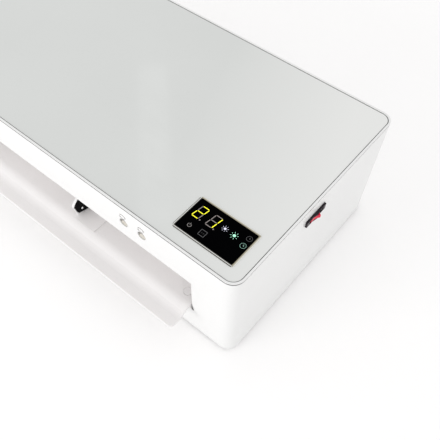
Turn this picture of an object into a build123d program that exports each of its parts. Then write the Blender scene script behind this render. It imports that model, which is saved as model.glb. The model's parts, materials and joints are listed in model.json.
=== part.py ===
from build123d import *
import math
import os

# Pouch laminator for sheets up to A3, with a fold-up infeed tray.
# Millimetres. X to the right, Y to the back, Z up. The parts are drawn with the front wall's face at y = 0
# and the body's middle at x = 0, and are written with the origin at the middle of the base of the whole.

# ---- body shell
BODY_W = 590.0
BODY_D = 255.0
BODY_H = 138.0
CORNER_R = 13.0
WALL = 2.8
FEET_H = 3.0
POST_INSET = 12.0
POST_R = 4.0
POST_TOP = 30.0
AIR_SLOT_PITCH = 22.0
AIR_SLOT_W = 14.0
AIR_SLOT_H = 4.0
RIM_W = 2.0
RIM_H = 1.2
PARTING_GAP = 0.6
LAP_WALL = 1.0
SKIRT_H = 5.8
LEDGE_W = 12.0
LEDGE_T = 3.0
FIT = 0.1
GROOVE_W = 0.9
GLASS_T = 3.0
GLASS_SUNK = 0.6

# ---- infeed mouth
END_CAP_W = 49.5
MOUTH_TOP = 92.0
MOUTH_BOTTOM = 40.0
LINER_T = 2.2
THROAT_Y = 44.5
THROAT_END_Y = 51.0
PASS_Z = 52.0
SLOT_W = 340.0
SLOT_BELOW = 1.6
SLOT_ABOVE = 6.0

# ---- infeed tray
TRAY_GAP = 1.0
TRAY_REACH = 30.0
TRAY_BACK_Y = 42.0
TRAY_T = 2.5
TRAY_TOP_Z = 51.0
LIP_TOP_Z = 43.6
LIP_START_Y = -14.0
SLOPE_START_Y = -4.5
TRAY_BEND_R = 14.0
TRAY_CORNER_R = 5.0
RIB_T = 3.0
NOTCH_DROP = 9.0
NOTCH_W = 2.4
NOTCH_H = 13.0
PIVOT_Y = 10.5
PIVOT_Z = 48.0
PIVOT_R = 2.5
PIVOT_LENGTH = 4.0
BRACKET_T = 3.2
BRACKET_BACK_Y = 22.0
CAP_R = 4.5
CAP_GAP = 0.35
CAP_SINK = 0.8
CAP_PROUD = 0.2
CAP_INSET = 11.5
CAP_Y = 8.5

# ---- pouch guides
FENCE_X = 78.5
FENCE_T = 3.0
SIDE_PLATE_T = 1.7
FENCE_GROWN = 0.7
FENCE_BACK_Y = 22.0
FENCE_TOP_Z = 73.5
NOSE = ((2.1, 57.9), (0.4, 65.8), (2.9, 69.2), (7.1, 72.8))
PLATE_LIFT_Z = 55.3
PLATE_DOWN_Y = 16.2
FOOT_W = 32.0
FOOT_FRONT_Y = -2.8
FOOT_T = 0.6
FOOT_GAP = 0.15
GUIDE_IN = 52.5
GUIDE_OUT = 77.5
RACK_T = 4.4
RACK_GAP = 0.5
PINION_Y = 28.6
PINION_TEETH = 14
PINION_PIN_R = 2.5
NECK_T = 2.2
NECK_GAP = 0.5
RACK_COVER_T = 1.4
RACK_COVER_W = 392.0
RACK_COVER_D = 25.0

# ---- roller frame
SIDE_X = 190.0
SIDE_T = 1.5
FRAME_FRONT_Y = 54.0
FRAME_BACK_Y = 186.0
FRAME_TOP_Z = 96.0
NIP_GAP = 0.3
HOT_Y = 100.0
HOT_TEETH = 28
PULL_Y = 160.0
PULL_TEETH = 24
IDLER_TEETH = 34
MOTOR_TEETH = 16
JOURNAL_R = 4.0
SLEEVE_WALL = 3.0
SLEEVE_L = 344.0
RUN_FIT = 0.05
BUSH_WALL = 3.0
BLOCK_H = 16.0
SPRING_L = 12.0
SPRING_WIRE_R = 0.6
SPRING_R = 2.4
GEAR_W = 7.0
GEAR_GAP = 3.6
GEAR_BACKLASH = 0.2
MOTOR_BACKLASH = 0.5
SHOE_GAP = 1.6
SHOE_T = 3.0
GUIDE_PLATE_T = 1.2
MOTOR_R = 30.0
MOTOR_L = 32.0
MOTOR_PLATE_X = 207.0

# ---- controls
DISPLAY_RIGHT = 15.3
DISPLAY_FRONT = 14.6
DISPLAY_W = 68.5
DISPLAY_D = 41.8
BEZEL_W = 2.0
BEZEL_ROUND = 0.45
WINDOW_LAP = 0.5
BUTTON_R = 4.75
BUTTON_GAP = 0.35
BUTTON_SUNK = 0.9
BUTTON_TRAVEL = 0.8
BUTTONS_FROM_RIGHT = (131.6, 108.6)
BUTTON_DROP = 25.0
SWITCH_Y = 118.6
SWITCH_DROP = 19.6
SWITCH_L = 30.5
SWITCH_H = 7.4
SWITCH_FLANGE_T = 2.2
SWITCH_LIP_L = 1.5
SWITCH_LIP_H = 0.8
ROCKER_L = 21.0
ROCKER_H = 4.0
ROCKER_PROUD = 3.3
ROCKER_TILT = 11.0
ROCKER_END_GAP = 0.9
ROCKER_SIDE_GAP = 0.3
ROCKER_PIN_DEPTH = 4.0
ROCKER_PIN_R = 1.2
EAR_REACH = 8.0
EAR_RISE = 1.2
EAR_T = 1.0

# ---- inside the left bay and at the back
BOARD_T = 1.6
INLET_FROM_LEFT = 44.0
INLET_Z = 34.0
INLET_W = 27.0
INLET_H = 19.8
INLET_WALL = 2.0
INLET_DEPTH = 18.0
PAN_T = 1.8
FOOT_R = 9.0
RUBBER_FOOT_X = 34.0
RUBBER_FOOT_Y = 38.0
SCREW_R = 3.4
THREAD_R = 1.25
PAN_VENT_INSET = 42.0

# ---- places worked out from the sizes above
HALF_W = BODY_W / 2
MOUTH_X = HALF_W - END_CAP_W
TRAY_X = MOUTH_X - TRAY_GAP
PAN_Z = FEET_H + 1.0
PAN_TOP = PAN_Z + PAN_T
CASE_TOP = BODY_H - RIM_H - PARTING_GAP
GLASS_TOP = BODY_H - GLASS_SUNK
GLASS_BOTTOM = GLASS_TOP - GLASS_T
GLASS_INSET = RIM_W + GROOVE_W
BUTTON_X = [HALF_W - away for away in BUTTONS_FROM_RIGHT]
INLET_X = INLET_FROM_LEFT - HALF_W
REAR_Y = BODY_D
HOT_R = HOT_TEETH / 2
PULL_R = PULL_TEETH / 2
PINION_R = PINION_TEETH / 2
FOOT_Z = TRAY_TOP_Z + FOOT_GAP
HOT_LOW_Z = PASS_Z - HOT_R - NIP_GAP / 2
HOT_HIGH_Z = PASS_Z + HOT_R + NIP_GAP / 2
PULL_LOW_Z = PASS_Z - PULL_R - NIP_GAP / 2
PULL_HIGH_Z = PASS_Z + PULL_R + NIP_GAP / 2
GEAR_X = SIDE_X + SIDE_T / 2 + GEAR_GAP
ORIGIN_Y = (BODY_D - TRAY_REACH) / 2

os.makedirs("parts", exist_ok=True)


def write(name, *shapes):
    """Move a node's solids to the shared origin and write them as one STEP file."""
    solids = []
    for shape in shapes:
        solids.extend(shape.solids())
    moved = [Pos(0, -ORIGIN_Y, 0) * solid for solid in solids]
    whole = moved[0] if len(moved) == 1 else Compound(children=moved)
    export_step(whole, "parts/" + name + ".step")


def block(low, high):
    """Box between two corners."""
    size = [high[i] - low[i] for i in range(3)]
    centre = [(high[i] + low[i]) / 2 for i in range(3)]
    return Pos(*centre) * Box(*size)


def rod_x(x0, x1, y, z, radius):
    return Pos((x0 + x1) / 2, y, z) * Rot(0, 90, 0) * Cylinder(radius, x1 - x0)


def rod_y(y0, y1, x, z, radius):
    return Pos(x, (y0 + y1) / 2, z) * Rot(90, 0, 0) * Cylinder(radius, y1 - y0)


def rod_z(z0, z1, x, y, radius):
    return Pos(x, y, (z0 + z1) / 2) * Cylinder(radius, z1 - z0)


def slab(z0, z1, inset):
    """The body's plan, drawn in by an inset, between two heights."""
    radius = max(CORNER_R - inset, 1.0)
    outline = RectangleRounded(BODY_W - 2 * inset, BODY_D - 2 * inset, radius)
    return extrude(Pos(0, BODY_D / 2, z0) * outline, z1 - z0)


def ring(z0, z1, outer_inset, inner_inset):
    return slab(z0, z1, outer_inset) - slab(z0 - 1, z1 + 1, inner_inset)


def along_x(outline, x0, x1):
    """Extrude a closed (y, z) outline, given as points, from x0 to x1."""
    face = make_face(Polyline(*outline, close=True))
    return extrude(Plane.YZ.offset(x0) * face, x1 - x0)


def gear_outline(teeth, turned):
    """Closed outline of a spur gear of module 1, with a tooth's middle at the angle 'turned'."""
    points = []
    pitch = 360 / teeth
    steps = ((-0.30, -1.2), (-0.12, 0.9), (0.12, 0.9), (0.30, -1.2))
    for tooth in range(teeth):
        for share, height in steps:
            angle = math.radians(turned + (tooth + share) * pitch)
            radius = teeth / 2 + height
            points.append((radius * math.cos(angle), radius * math.sin(angle)))
    return make_face(Polyline(*points, close=True))


def gear_x(teeth, turned, x, y, z, bore):
    """Spur gear on an axis along X; angles are measured in the (y, z) plane."""
    gear = extrude(Plane.YZ.offset(x) * Pos(y, z) * gear_outline(teeth, turned), GEAR_W)
    hub = rod_x(x - 1.0, x + GEAR_W, y, z, bore + 3.5)
    return gear + hub - rod_x(x - 2, x + GEAR_W + 2, y, z, bore)


def meshing(teeth, turned, mate_teeth, direction):
    """Turn of a gear that meshes with another, which lies at 'direction' from the first."""
    lead = direction - turned
    return direction + 180 + (lead * teeth + 180) / mate_teeth


# ---------------------------------------------------------------- body shell
def casing():
    shell = slab(FEET_H, CASE_TOP, 0)
    shell -= slab(FEET_H - 1, CASE_TOP + 1, WALL)
    lap = SKIRT_H + PARTING_GAP
    shell -= slab(CASE_TOP - lap, CASE_TOP + 1, LAP_WALL)
    mouth = block((-MOUTH_X, -1, MOUTH_BOTTOM), (MOUTH_X, WALL + 1, MOUTH_TOP))
    shell -= mouth
    notch_z = PIVOT_Z - NOTCH_DROP
    for side in (-1, 1):
        outline = [(MOUTH_X, notch_z), (MOUTH_X + NOTCH_W, notch_z), (MOUTH_X, notch_z + NOTCH_H)]
        corner = make_face(Polyline(*[(side * x, z) for x, z in outline], close=True))
        shell -= extrude(Plane.XZ.offset(1) * corner, -(WALL + 2))
    for x in BUTTON_X:
        shell -= rod_y(-1, WALL + 1, x, BODY_H - BUTTON_DROP, BUTTON_R + BUTTON_GAP)
    # exit slot, inlet hole and air slots in the back
    shell -= block((-SLOT_W / 2 - 5, REAR_Y - 5, PASS_Z - 5), (SLOT_W / 2 + 5, REAR_Y + 1, PASS_Z + 5))
    half = (INLET_W / 2 - INLET_WALL, INLET_H / 2 - INLET_WALL)
    low = (INLET_X - half[0], REAR_Y - 5, INLET_Z - half[1])
    shell -= block(low, (INLET_X + half[0], REAR_Y + 1, INLET_Z + half[1]))
    for row in range(3):
        for step in range(-8, 9):
            x, z = step * AIR_SLOT_PITCH, 78.0 + row * 3 * AIR_SLOT_H
            near, far = x - AIR_SLOT_W / 2, x + AIR_SLOT_W / 2
            shell -= block((near, REAR_Y - 5, z), (far, REAR_Y + 1, z + AIR_SLOT_H))
    # hole for the switch body in the right side
    z = BODY_H - SWITCH_DROP
    half = (SWITCH_L / 2 - SWITCH_LIP_L, SWITCH_H / 2 - SWITCH_LIP_H)
    low = (HALF_W - 5, SWITCH_Y - half[0], z - half[1])
    shell -= block(low, (HALF_W + 1, SWITCH_Y + half[0], z + half[1]))
    # screw posts in the corners, joined to the walls by ribs
    for x in (-1, 1):
        for y, wall_y in ((POST_INSET, 1), (BODY_D - POST_INSET, BODY_D - 1)):
            middle = x * (HALF_W - POST_INSET)
            post = rod_z(PAN_TOP + FIT, POST_TOP, middle, y, POST_R)
            near, far = sorted((middle, x * (HALF_W - 1)))
            rib = block((near, y - 1, PAN_TOP + FIT), (far, y + 1, POST_TOP))
            near, far = sorted((y, wall_y))
            rib += block((middle - 1, near, PAN_TOP + FIT), (middle + 1, far, POST_TOP))
            shell += post + rib
            shell -= rod_z(PAN_Z, 20, middle, y, THREAD_R + RUN_FIT)
    write("casing", shell)


def top_frame():
    frame = ring(CASE_TOP + PARTING_GAP, BODY_H, 0, RIM_W)
    skirt_in = GLASS_INSET - FIT
    top = GLASS_TOP - 0.3
    frame += ring(CASE_TOP - SKIRT_H, top, LAP_WALL + FIT, skirt_in)
    frame += ring(GLASS_BOTTOM - LEDGE_T, GLASS_BOTTOM, LAP_WALL + FIT, GLASS_INSET + LEDGE_W)
    write("top_frame", frame)


def display_corners(inset):
    """Plan corners of the display's outline, drawn in by an inset."""
    right = HALF_W - DISPLAY_RIGHT
    low = (right - DISPLAY_W + inset, DISPLAY_FRONT + inset)
    return low, (right - inset, DISPLAY_FRONT + DISPLAY_D - inset)


def display_plate(inset, radius, z0, z1):
    low, high = display_corners(inset)
    outline = RectangleRounded(high[0] - low[0], high[1] - low[1], radius)
    middle = ((low[0] + high[0]) / 2, (low[1] + high[1]) / 2)
    return extrude(Pos(*middle, z0) * outline, z1 - z0)


def top_glass_and_display():
    opening = BEZEL_W - WINDOW_LAP - FIT
    glass = slab(GLASS_BOTTOM, GLASS_TOP, GLASS_INSET)
    glass -= display_plate(opening, 2.1, GLASS_BOTTOM - 1, GLASS_TOP + 1)
    write("top_glass", glass)
    bezel = display_plate(0, 3.2, GLASS_TOP, BODY_H)
    bezel = fillet(bezel.edges().group_by(Axis.Z)[-1], BEZEL_ROUND)
    bezel -= display_plate(BEZEL_W, 1.6, GLASS_TOP - 1, BODY_H + 1)
    write("display_bezel", bezel)
    window = display_plate(BEZEL_W - WINDOW_LAP, 2.0, GLASS_BOTTOM, GLASS_TOP)
    write("display_window", window)
    low, high = display_corners(3.0)
    board = block((*low, GLASS_BOTTOM - BOARD_T - 6), (*high, GLASS_BOTTOM - 6))
    module = block((low[0] + 6, low[1] + 6, GLASS_BOTTOM - 6), (high[0] - 6, high[1] - 6, GLASS_BOTTOM))
    write("display_board", board + module)


def buttons():
    z = BODY_H - BUTTON_DROP
    stem_end = 9.0
    for name, x in zip(("button_left", "button_right"), BUTTON_X):
        face = rod_y(BUTTON_SUNK, WALL + 0.5, x, z, BUTTON_R)
        face = fillet(face.edges().group_by(Axis.Y)[0], 0.5)
        flange = rod_y(WALL + 0.4, WALL + 1.5, x, z, BUTTON_R + 1.6)
        stem = rod_y(WALL + 1.4, stem_end, x, z, 2.0)
        write(name, face + flange + stem)
    low_x, high_x = BUTTON_X[0] - 14, BUTTON_X[1] + 14
    touch_y = stem_end + BUTTON_TRAVEL + 0.3
    board_y = touch_y + 4.5
    board = block((low_x, board_y, z - 9), (high_x, board_y + BOARD_T, z + 9))
    for x in BUTTON_X:
        board += block((x - 3, touch_y + 0.8, z - 3), (x + 3, board_y, z + 3))
        board += rod_y(touch_y, touch_y + 1, x, z, 1.5)
    # two posts behind the band carry the board
    for x in (low_x + 4, high_x - 4):
        board += rod_y(WALL, board_y, x, z - 6, 1.8)
    write("button_board", board)


def power_switch():
    z = BODY_H - SWITCH_DROP
    half_l, half_h = SWITCH_L / 2, SWITCH_H / 2
    face_x = HALF_W + SWITCH_FLANGE_T
    flange = block((HALF_W, SWITCH_Y - half_l, z - half_h), (face_x, SWITCH_Y + half_l, z + half_h))
    flange = fillet(flange.edges().group_by(Axis.X)[-1], 0.6)
    inner_l, inner_h = half_l - SWITCH_LIP_L - FIT, half_h - SWITCH_LIP_H - FIT
    can = block((HALF_W - 24, SWITCH_Y - inner_l, z - inner_h), (HALF_W, SWITCH_Y + inner_l, z + inner_h))
    well_l, well_h = ROCKER_L / 2 + ROCKER_END_GAP, ROCKER_H / 2 + ROCKER_SIDE_GAP
    well = block((HALF_W - 11, SWITCH_Y - well_l, z - well_h), (face_x + 1, SWITCH_Y + well_l, z + well_h))
    pivot_x = HALF_W - ROCKER_PIN_DEPTH
    housing = flange + can - well
    housing += rod_z(z - well_h - 0.2, z + well_h + 0.2, pivot_x, SWITCH_Y, ROCKER_PIN_R)
    # three-cornered cheeks stand above and below the rocker's ridge
    cheek = [(face_x - 0.5, -EAR_REACH), (face_x + EAR_RISE, -0.6),
             (face_x + EAR_RISE, 0.6), (face_x - 0.5, EAR_REACH)]
    face = Pos(0, SWITCH_Y, 0) * make_face(Polyline(*cheek, close=True))
    for z0 in (z - well_h - EAR_T, z + well_h):
        housing += extrude(Pos(0, 0, z0) * face, EAR_T)
    for offset in (-8, 0, 8):
        tab = (HALF_W - 31, SWITCH_Y + offset - 0.4, z - 2.2)
        housing += block(tab, (HALF_W - 23, SWITCH_Y + offset + 0.4, z + 2.2))
    write("switch_housing", housing)
    # rocker: a plate with two hollowed ramps that meet in a ridge over the pivot
    reach = ROCKER_L / 2
    top = face_x + ROCKER_PROUD
    low = face_x - 1.4
    back = HALF_W - 7.0
    outline = make_face([
        Spline((low, -reach), (low + 0.9, -reach * 0.45), (top, 0)),
        Spline((top, 0), (low + 0.9, reach * 0.45), (low, reach)),
        Polyline((low, reach), (back, reach * 0.62), (back, -reach * 0.62), (low, -reach)),
    ])
    rocker = extrude(Plane.XY.offset(-ROCKER_H / 2) * outline, ROCKER_H)
    rocker -= Pos(pivot_x, 0, 0) * Cylinder(ROCKER_PIN_R + RUN_FIT, ROCKER_H + 2)
    turned = Pos(pivot_x, SWITCH_Y, z) * Rot(0, 0, ROCKER_TILT) * Pos(-pivot_x, 0, 0) * rocker
    write("switch_rocker", turned)


# ---------------------------------------------------------------- base
def base():
    pan = slab(PAN_Z, PAN_TOP, WALL + 0.3)
    for side in (-1, 1):
        for step in range(12):
            y = 70.0 + step * 9
            middle = side * (HALF_W - PAN_VENT_INSET)
            pan -= block((middle - 18, y, PAN_Z - 1), (middle + 18, y + 4, PAN_TOP + 1))
    for step in range(-7, 8):
        x = step * AIR_SLOT_PITCH
        pan -= block((x - 2, 90, PAN_Z - 1), (x + 2, 170, PAN_TOP + 1))
    for x in (-1, 1):
        for y in (POST_INSET, BODY_D - POST_INSET):
            pan -= rod_z(PAN_Z - 1, PAN_TOP + 1, x * (HALF_W - POST_INSET), y, 1.9)
    write("base_pan", pan)
    feet = []
    screws = []
    for x in (-1, 1):
        for y in (RUBBER_FOOT_Y, BODY_D - RUBBER_FOOT_Y):
            foot = rod_z(0, PAN_Z, x * (HALF_W - RUBBER_FOOT_X), y, FOOT_R)
            feet.append(fillet(foot.edges().group_by(Axis.Z)[0], 1.0))
        for y in (POST_INSET, BODY_D - POST_INSET):
            middle = x * (HALF_W - POST_INSET)
            head = rod_z(PAN_Z - 1.8, PAN_Z, middle, y, SCREW_R)
            head -= block((middle - 2, y - 0.4, PAN_Z - 2), (middle + 2, y + 0.4, PAN_Z - 1))
            screws.append(head + rod_z(PAN_Z - 0.1, PAN_TOP + 10, middle, y, THREAD_R))
    write("rubber_feet", *feet)
    write("base_screws", *screws)


# ---------------------------------------------------------------- infeed mouth and tray
def mouth_liner():
    cheek_x = MOUTH_X + BRACKET_T + 0.4
    top = MOUTH_TOP + 0.4
    slot_top = PASS_Z + SLOT_ABOVE
    ceiling = [(WALL + 0.2, top), (THROAT_Y, slot_top + 2), (THROAT_Y + 3, slot_top),
               (THROAT_END_Y, slot_top), (THROAT_END_Y, slot_top + LINER_T),
               (THROAT_Y + 3.4, slot_top + LINER_T), (THROAT_Y + 1, slot_top + 2 + LINER_T),
               (WALL + 0.2, top + LINER_T + 0.8)]
    liner = along_x(ceiling, -cheek_x - LINER_T, cheek_x + LINER_T)
    for side in (-1, 1):
        x0, x1 = sorted((side * cheek_x, side * (cheek_x + LINER_T)))
        liner += along_x([(WALL + 0.2, PAN_TOP), (THROAT_END_Y, PAN_TOP), (THROAT_END_Y, slot_top + 1),
                          (THROAT_Y, slot_top + 3), (WALL + 0.2, top + 1)], x0, x1)
        x0, x1 = sorted((side * SLOT_W / 2, side * (cheek_x + 1)))
        liner += block((x0, THROAT_Y, PASS_Z - 8), (x1, THROAT_Y + LINER_T, slot_top + 3))
    sill = PASS_Z - SLOT_BELOW
    liner += block((-cheek_x - 1, THROAT_Y, 14), (cheek_x + 1, THROAT_Y + LINER_T, sill - 3))
    liner += along_x([(THROAT_Y, sill - 3.2), (THROAT_Y, sill - 1), (THROAT_Y + 1, sill),
                      (THROAT_END_Y, sill), (THROAT_END_Y, sill - LINER_T), (THROAT_Y + 2, sill - 3.2)],
                     -cheek_x - 1, cheek_x + 1)
    write("mouth_liner", liner)


def tray_section(gap):
    """Filleted upper line of the tray from the lip back, lowered by a gap."""
    lip = LIP_TOP_Z - gap
    top = TRAY_TOP_Z - gap
    corners = [(-TRAY_REACH, lip), (LIP_START_Y, lip + 0.5), (SLOPE_START_Y, top), (TRAY_BACK_Y, top)]
    return FilletPolyline(*corners, radius=TRAY_BEND_R)


def neck_slot(side, y0, y1):
    """Slot in the tray for a guide's neck over its whole travel."""
    inner = FENCE_X + FENCE_T + 1 - GUIDE_IN - NECK_GAP
    outer = FENCE_X + FOOT_W - 2 + GUIDE_OUT + NECK_GAP
    x0, x1 = sorted((side * inner, side * outer))
    return block((x0, y0 - NECK_GAP, TRAY_TOP_Z - TRAY_T - 1), (x1, y1 + NECK_GAP, TRAY_TOP_Z + 1))


def rack_lines(side):
    """Back of the rack and near and far side of its neck, for the guide on one side."""
    away = PINION_R + 1.2
    if side > 0:
        return PINION_Y + away, PINION_Y + away, PINION_Y + away + NECK_T
    return PINION_Y - away, PINION_Y - away - NECK_T, PINION_Y - away


def tray():
    upper = tray_section(0)
    lower = tray_section(TRAY_T)
    front = Line((-TRAY_REACH, LIP_TOP_Z), (-TRAY_REACH, LIP_TOP_Z - TRAY_T))
    back = Line((TRAY_BACK_Y, TRAY_TOP_Z), (TRAY_BACK_Y, TRAY_TOP_Z - TRAY_T))
    face = make_face(upper.edges() + lower.edges() + front.edges() + back.edges())
    plate = extrude(Plane.YZ.offset(-TRAY_X) * face, 2 * TRAY_X)
    corners = plate.edges().filter_by(Axis.Z).group_by(Axis.Y)[0]
    plate = fillet(corners, TRAY_CORNER_R)
    lip = plate.edges().filter_by(Axis.X).group_by(Axis.Y)[0]
    plate = fillet(lip, 1.0)
    for side in (-1, 1):
        x0, x1 = sorted((side * (TRAY_X - RIB_T), side * TRAY_X))
        rib = [(-2, TRAY_TOP_Z - 1), (-1, 43), (PIVOT_Y - 5, 42), (PIVOT_Y + 5, 42), (26, 44),
               (TRAY_BACK_Y, TRAY_TOP_Z - 1)]
        plate += along_x(rib, x0, x1)
        x0, x1 = sorted((side * (TRAY_X - 1), side * (TRAY_X + PIVOT_LENGTH)))
        plate += rod_x(x0, x1, PIVOT_Y, PIVOT_Z, PIVOT_R)
        y0, y1 = rack_lines(side)[1:]
        plate -= neck_slot(side, y0, y1)
        cap_x = side * (TRAY_X - CAP_INSET)
        plate -= rod_z(TRAY_TOP_Z - CAP_SINK, TRAY_TOP_Z + 1, cap_x, CAP_Y, CAP_R + CAP_GAP)
    plate += rod_z(TRAY_TOP_Z - TRAY_T - RACK_T - RACK_GAP, TRAY_TOP_Z - 1, 0, PINION_Y, PINION_PIN_R)
    write("tray", plate)
    cap_ends = (TRAY_TOP_Z - CAP_SINK, TRAY_TOP_Z + CAP_PROUD)
    caps = [rod_z(*cap_ends, side * (TRAY_X - CAP_INSET), CAP_Y, CAP_R) for side in (-1, 1)]
    write("tray_caps", *caps)
    cover_top = TRAY_TOP_Z - TRAY_T - 2 * RACK_GAP - RACK_T
    low_y, high_y = PINION_Y - RACK_COVER_D / 2, PINION_Y + RACK_COVER_D / 2
    end_x = RACK_COVER_W / 2
    cover = block((-end_x, low_y, cover_top - RACK_COVER_T), (end_x, high_y, cover_top))
    for x in (4 - end_x, end_x - 4):
        cover += block((x - 3, low_y + 5, cover_top - 0.1), (x + 3, high_y, TRAY_TOP_Z - TRAY_T))
    write("rack_cover", cover)
    for name, side in (("tray_bracket_left", -1), ("tray_bracket_right", 1)):
        x0, x1 = sorted((side * (MOUTH_X + 0.1), side * (MOUTH_X + BRACKET_T)))
        bracket = along_x([(WALL + FIT, PAN_TOP), (BRACKET_BACK_Y, PAN_TOP), (BRACKET_BACK_Y, PIVOT_Z + 4),
                           (BRACKET_BACK_Y - 5, PIVOT_Z + 9), (WALL + FIT, PIVOT_Z + 9)], x0, x1)
        # a nose fills the notch beside the mouth
        tip_z = PIVOT_Z - NOTCH_DROP + 0.2
        tip = [(MOUTH_X + 0.2, tip_z), (MOUTH_X + NOTCH_W - 0.5, tip_z), (MOUTH_X + 0.2, tip_z + 10.3)]
        face = make_face(Polyline(*[(side * x, z) for x, z in tip], close=True))
        bracket += extrude(Plane.XZ.offset(-0.4) * face, -(WALL + 0.4))
        bracket -= rod_x(x0 - 1, x1 + 1, PIVOT_Y, PIVOT_Z, PIVOT_R + RUN_FIT)
        write(name, bracket)


def rack(side):
    """Rack of module 1 along X; a tooth's middle is at x = 0 where the pinion's gap is."""
    back_y, neck_y0, neck_y1 = rack_lines(side)
    top = TRAY_TOP_Z - TRAY_T - RACK_GAP
    inward = -side
    pitch = math.pi
    first = math.ceil(-(GUIDE_IN + 6) / pitch)
    last = math.floor((GUIDE_OUT + 6) / pitch)
    body_end = side * (FENCE_X + FOOT_W - 2)
    points = [(body_end, back_y), (body_end, back_y + side * NECK_T * 1.3)]
    far = inward * (last + 1) * pitch
    points.append((far, back_y + side * NECK_T * 1.3))
    points.append((far, back_y))
    for tooth in range(last, first - 1, -1):
        middle = inward * tooth * pitch
        for share, height in ((0.30, 0.0), (0.12, 2.0), (-0.12, 2.0), (-0.30, 0.0)):
            points.append((middle + inward * share * pitch, back_y - side * height))
    face = make_face(Polyline(*points, close=True))
    bar = extrude(Plane.XY.offset(top - RACK_T) * face, RACK_T)
    x0, x1 = sorted((side * (FENCE_X + FENCE_T + 1), body_end))
    return bar + block((x0, neck_y0, top - RACK_T), (x1, neck_y1, FOOT_Z + FOOT_T / 2))


def fence_outline():
    """Side outline of a fence: raked nose, rounded shoulder and flat top."""
    grown = [(y - FENCE_GROWN, z + FENCE_GROWN / 2) for y, z in NOSE[1:]]
    points = [(NOSE[0][0] + 0.8, FOOT_Z), *grown, (NOSE[-1][0] + 1.9, FENCE_TOP_Z + FENCE_GROWN),
              (FENCE_BACK_Y, FENCE_TOP_Z + FENCE_GROWN), (FENCE_BACK_Y, FOOT_Z)]
    return make_face(FilletPolyline(*points, radius=0.9, close=True))


def plate_outline():
    """Side outline of the plate on a fence: its lower edge falls from the nose to the foot."""
    points = [(NOSE[0][0] + 1.5, PLATE_LIFT_Z), *NOSE, (NOSE[-1][0] + 1.9, FENCE_TOP_Z),
              (FENCE_BACK_Y, FENCE_TOP_Z), (FENCE_BACK_Y, FOOT_Z + FOOT_T), (PLATE_DOWN_Y, FOOT_Z + FOOT_T)]
    return make_face(FilletPolyline(*points, radius=0.7, close=True))


def guides():
    foot_back = PINION_Y + PINION_R + 1.2 + NECK_T + 0.6
    for name, side in (("right", 1), ("left", -1)):
        x0, x1 = sorted((side * FENCE_X, side * (FENCE_X + FENCE_T)))
        fence = extrude(Plane.YZ.offset(x0) * fence_outline(), x1 - x0)
        f0, f1 = sorted((side * FENCE_X, side * (FENCE_X + FOOT_W)))
        foot = block((f0, FOOT_FRONT_Y, FOOT_Z), (f1, foot_back, FOOT_Z + FOOT_T))
        foot = fillet(foot.edges().filter_by(Axis.Z), 1.0)
        write("guide_" + name, fence + foot + rack(side))
        x0, x1 = sorted((side * (FENCE_X + FENCE_T), side * (FENCE_X + FENCE_T + SIDE_PLATE_T)))
        write("guide_" + name + "_plate", extrude(Plane.YZ.offset(x0) * plate_outline(), x1 - x0))
    top = TRAY_TOP_Z - TRAY_T - RACK_GAP
    outline = gear_outline(PINION_TEETH, 90 + 180 / PINION_TEETH)
    pinion = extrude(Pos(0, PINION_Y, top - RACK_T) * outline, RACK_T)
    pinion -= rod_z(top - RACK_T - 1, top + 1, 0, PINION_Y, PINION_PIN_R + RUN_FIT)
    write("guide_pinion", pinion)


# ---------------------------------------------------------------- roller frame
def side_plates():
    bush_r = JOURNAL_R + BUSH_WALL
    for name, side in (("side_plate_left", -1), ("side_plate_right", 1)):
        x0, x1 = side * SIDE_X - SIDE_T / 2, side * SIDE_X + SIDE_T / 2
        plate = block((x0, FRAME_FRONT_Y, PAN_TOP), (x1, FRAME_BACK_Y, FRAME_TOP_Z))
        flange_x = sorted((side * (SIDE_X - SIDE_T / 2), side * (SIDE_X - 14)))
        plate += block((flange_x[0], FRAME_FRONT_Y, PAN_TOP), (flange_x[1], FRAME_BACK_Y, PAN_TOP + SIDE_T))
        for y, low, high in ((HOT_Y, HOT_LOW_Z, HOT_HIGH_Z), (PULL_Y, PULL_LOW_Z, PULL_HIGH_Z)):
            plate -= rod_x(x0 - 1, x1 + 1, y, low, bush_r + 0.02)
            window_top = high + BLOCK_H / 2 + SPRING_L
            plate -= block((x0 - 1, y - bush_r, high - BLOCK_H / 2), (x1 + 1, y + bush_r, window_top))
        write(name, plate)


def bearings():
    bush_r = JOURNAL_R + BUSH_WALL
    bushes = []
    blocks = []
    springs = []
    for side in (-1, 1):
        plate_in = side * (SIDE_X - SIDE_T / 2)
        for y, low, high in ((HOT_Y, HOT_LOW_Z, HOT_HIGH_Z), (PULL_Y, PULL_LOW_Z, PULL_HIGH_Z)):
            a, b = sorted((plate_in - side * 3.0, side * (SIDE_X + SIDE_T / 2 + 0.8)))
            flange_a, flange_b = sorted((plate_in - side * 3.0, plate_in - side * 0.02))
            bush = rod_x(a, b, y, low, bush_r) + rod_x(flange_a, flange_b, y, low, bush_r + 2)
            bushes.append(bush - rod_x(a - 1, b + 1, y, low, JOURNAL_R + RUN_FIT))
            body = block((a, y - bush_r + 0.05, high - BLOCK_H / 2 + 0.05),
                         (b, y + bush_r - 0.05, high + BLOCK_H / 2))
            body += block((flange_a, y - bush_r - 2, high - BLOCK_H / 2 + 0.05),
                          (flange_b, y + bush_r + 2, high + BLOCK_H / 2))
            blocks.append(body - rod_x(a - 1, b + 1, y, high, JOURNAL_R + RUN_FIT))
            # coil spring between the block and the top of its window
            height = SPRING_L - 2 * SPRING_WIRE_R - 0.2
            coil = Helix(pitch=height / 4, height=height, radius=SPRING_R)
            start = Plane(origin=coil @ 0, z_dir=coil % 0)
            wire = sweep(start * Circle(SPRING_WIRE_R), path=coil)
            z = high + BLOCK_H / 2 + SPRING_WIRE_R + 0.1
            springs.append(Pos(side * SIDE_X, y, z) * wire)
    write("roller_bushes", *bushes)
    write("bearing_blocks", *blocks)
    write("pressure_springs", *springs)


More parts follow.
